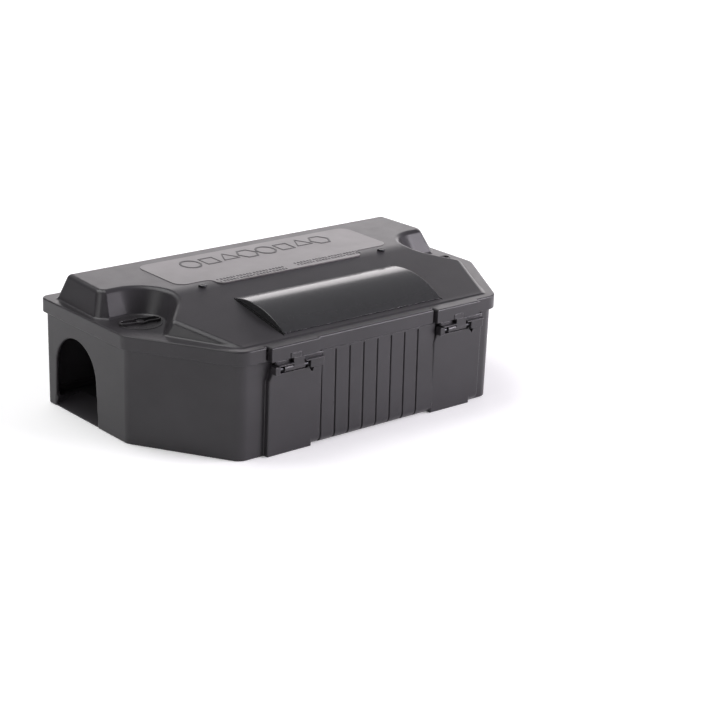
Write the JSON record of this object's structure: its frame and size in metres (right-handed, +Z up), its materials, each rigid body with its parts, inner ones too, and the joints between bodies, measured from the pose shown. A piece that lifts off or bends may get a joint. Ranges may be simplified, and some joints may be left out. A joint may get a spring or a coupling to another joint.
{
  "type": "bait station",
  "caption": "Lockable moulded rodent bait station with end entrances, a hinged domed lid and a lift-out bait tray on steel rods.",
  "frame": {"origin": "centre of the bounding box's bottom face: on the ground, in the middle of the length", "axes": "+X along the length, +Y towards the back wall, away from the hinges, +Z up"},
  "size_m": [0.32, 0.185, 0.0972],
  "materials": {
    "black_plastic": "fine moulded texture",
    "gloss_plastic": "polished",
    "inner_plastic": "plain moulded",
    "lock_plastic": "satin",
    "steel": "zinc plated",
    "bait_wax": "pressed wax",
    "card": "uncoated card"
  },
  "bodies": {
    "base": {"base_shell": "black_plastic", "hinge_pin_left": "steel", "hinge_pin_right": "steel", "baffle_left": "inner_plastic", "baffle_right": "inner_plastic", "lock_keeper_left": "inner_plastic", "lock_keeper_right": "inner_plastic"},
    "lid": {"lid_shell": "black_plastic", "dome_cover": "gloss_plastic", "card_holder": "inner_plastic", "holder_screws": "steel"},
    "lock_left": {"lock_core_left": "lock_plastic", "lock_ring_left": "steel", "lock_arm_left": "lock_plastic", "lock_screw_left": "steel"},
    "lock_right": {"lock_core_right": "lock_plastic", "lock_ring_right": "steel", "lock_arm_right": "lock_plastic", "lock_screw_right": "steel"},
    "card": {"service_card": "card"},
    "tray": {"bait_tray": "inner_plastic"},
    "bait_1": {"bait_rod_1": "steel", "bait_block_1": "bait_wax", "bait_block_2": "bait_wax"},
    "bait_2": {"bait_rod_2": "steel", "bait_block_3": "bait_wax", "bait_block_4": "bait_wax"},
    "bait_3": {"bait_rod_3": "steel", "bait_block_5": "bait_wax", "bait_block_6": "bait_wax"},
    "bait_4": {"bait_rod_4": "steel", "bait_block_7": "bait_wax", "bait_block_8": "bait_wax"}
  },
  "joints": [
    {"name": "lid_hinge", "type": "hinge", "parent": "base", "child": "lid", "pos_m": [0, -0.08905, 0.0623], "axis": [1, 0, 0], "range_deg": [0, 105]},
    {"name": "lock_left_turn", "type": "hinge", "parent": "lid", "child": "lock_left", "pos_m": [-0.1348, 0.00285, 0.079], "axis": [0, 0, 1], "range_deg": [0, 90]},
    {"name": "lock_right_turn", "type": "hinge", "parent": "lid", "child": "lock_right", "pos_m": [0.1348, 0.00285, 0.079], "axis": [0, 0, -1], "range_deg": [0, 90]},
    {"name": "card_slide", "type": "slide", "parent": "lid", "child": "card", "axis": [1, 0, 0], "range_m": [0, 0.04]},
    {"name": "tray_lift", "type": "slide", "parent": "base", "child": "tray", "axis": [0, 0, 1], "range_m": [0, 0.006]},
    {"name": "bait_1_lift", "type": "slide", "parent": "tray", "child": "bait_1", "axis": [0, 0, 1], "range_m": [0, 0.008]},
    {"name": "bait_2_lift", "type": "slide", "parent": "tray", "child": "bait_2", "axis": [0, 0, 1], "range_m": [0, 0.008]},
    {"name": "bait_3_lift", "type": "slide", "parent": "tray", "child": "bait_3", "axis": [0, 0, 1], "range_m": [0, 0.008]},
    {"name": "bait_4_lift", "type": "slide", "parent": "tray", "child": "bait_4", "axis": [0, 0, 1], "range_m": [0, 0.008]}
  ]
}
